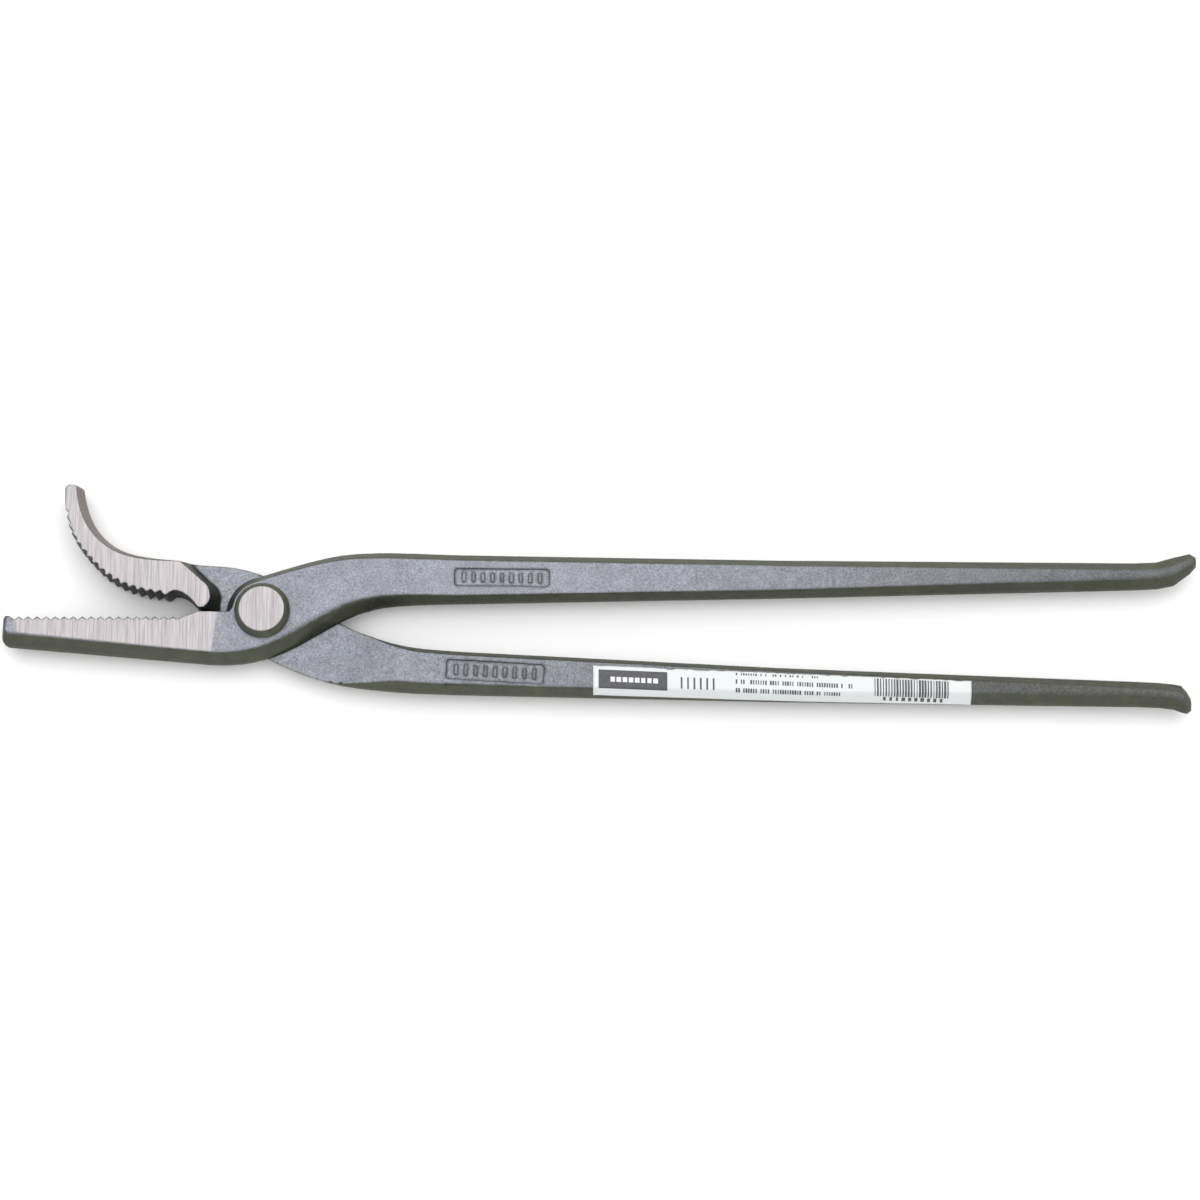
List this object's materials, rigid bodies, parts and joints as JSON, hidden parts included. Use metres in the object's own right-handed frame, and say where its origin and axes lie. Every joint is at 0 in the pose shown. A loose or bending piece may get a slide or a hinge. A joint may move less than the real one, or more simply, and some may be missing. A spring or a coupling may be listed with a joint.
{
  "type": "hoof nail clincher",
  "caption": "Forged clinching tongs with one straight and one curved toothed jaw, crossing at a riveted lap joint, with long slim handles.",
  "frame": {"origin": "on the rivet's axis, at the flat face of its tail, which the tool rests on", "axes": "+X along the tool from the rivet towards the handle ends, +Y across it on the curved jaw's side, +Z along the rivet towards its head"},
  "size_m": [0.3049, 0.0588, 0.0131],
  "materials": {
    "forged_steel": "blasted forging, jaws ground bright",
    "rivet_steel": "flat top ground, flank blackened",
    "label_paper": "semi-gloss coated"
  },
  "bodies": {
    "straight_arm": {"straight_jaw_arm": "forged_steel", "pivot_rivet": "rivet_steel"},
    "curved_arm": {"curved_jaw_arm": "forged_steel", "label": "label_paper"}
  },
  "joints": [
    {"name": "jaw_pivot", "type": "hinge", "parent": "straight_arm", "child": "curved_arm", "pos_m": [0, 0, 0.00554], "axis": [0, 0, -1], "range_deg": [0, 70]}
  ]
}
